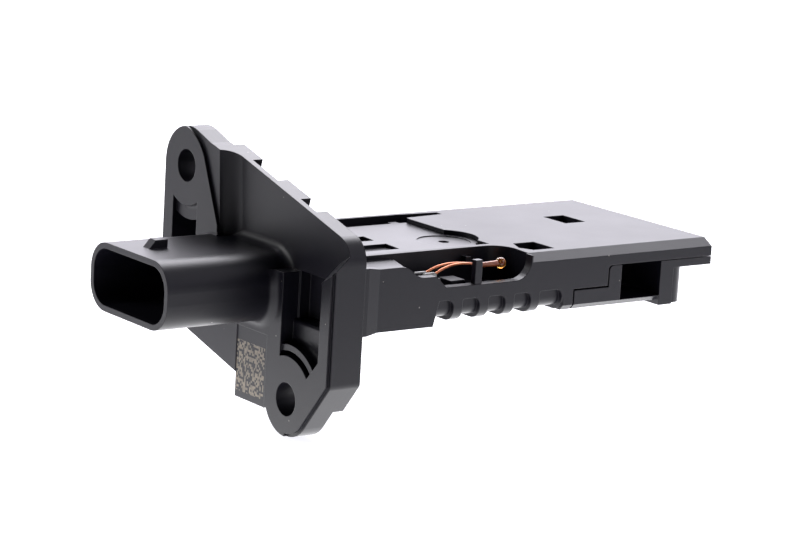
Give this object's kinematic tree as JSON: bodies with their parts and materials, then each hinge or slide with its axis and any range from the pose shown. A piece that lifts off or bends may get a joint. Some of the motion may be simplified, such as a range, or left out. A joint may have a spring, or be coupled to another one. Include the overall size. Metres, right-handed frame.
{
  "type": "mass airflow sensor",
  "caption": "Plug-in mass airflow sensor: a flat blade with a bypass inlet and an air temperature bead, a slanted screw flange and an oval plug socket.",
  "frame": {"origin": "midway between the two screw holes, on the flange's seating plane", "axes": "+X from the plug socket to the blade's tip, along the insertion; +Y across the blade, along the duct's air flow; +Z out of the blade's covered face"},
  "size_m": [0.083, 0.0413, 0.037],
  "materials": {
    "housing_plastic": "fine satin moulded",
    "cover_plastic": "fine satin moulded",
    "contact_metal": "tin plated",
    "base_metal": "plain",
    "board_ceramic": "plain ceramic",
    "chip_black": "moulded",
    "capacitor_body": "plain",
    "carrier_plastic": "moulded",
    "silicon": "polished",
    "gel": "clear and soft",
    "bead_glass": "amber, clear coat",
    "sleeve_coat": "clear coat over copper",
    "copper": "bare copper",
    "terminal_metal": "tin plated"
  },
  "bodies": {
    "root": {"sensor_housing": "housing_plastic", "electronics_cover": "cover_plastic", "bypass_cover": "cover_plastic", "contact_pin_1": "contact_metal", "contact_pin_2": "contact_metal", "contact_pin_3": "contact_metal", "contact_pin_4": "contact_metal", "base_plate": "base_metal", "circuit_board": "board_ceramic", "signal_chip": "chip_black", "board_resistors": "chip_black", "board_capacitors": "capacitor_body", "sensor_carrier": "carrier_plastic", "sensor_chip": "silicon", "potting_gel": "gel", "ntc_bead": "bead_glass", "ntc_sleeve": "sleeve_coat", "ntc_lead_upper": "copper", "ntc_lead_lower": "copper", "ntc_terminal_upper": "terminal_metal", "ntc_terminal_lower": "terminal_metal"}
  },
  "joints": []
}
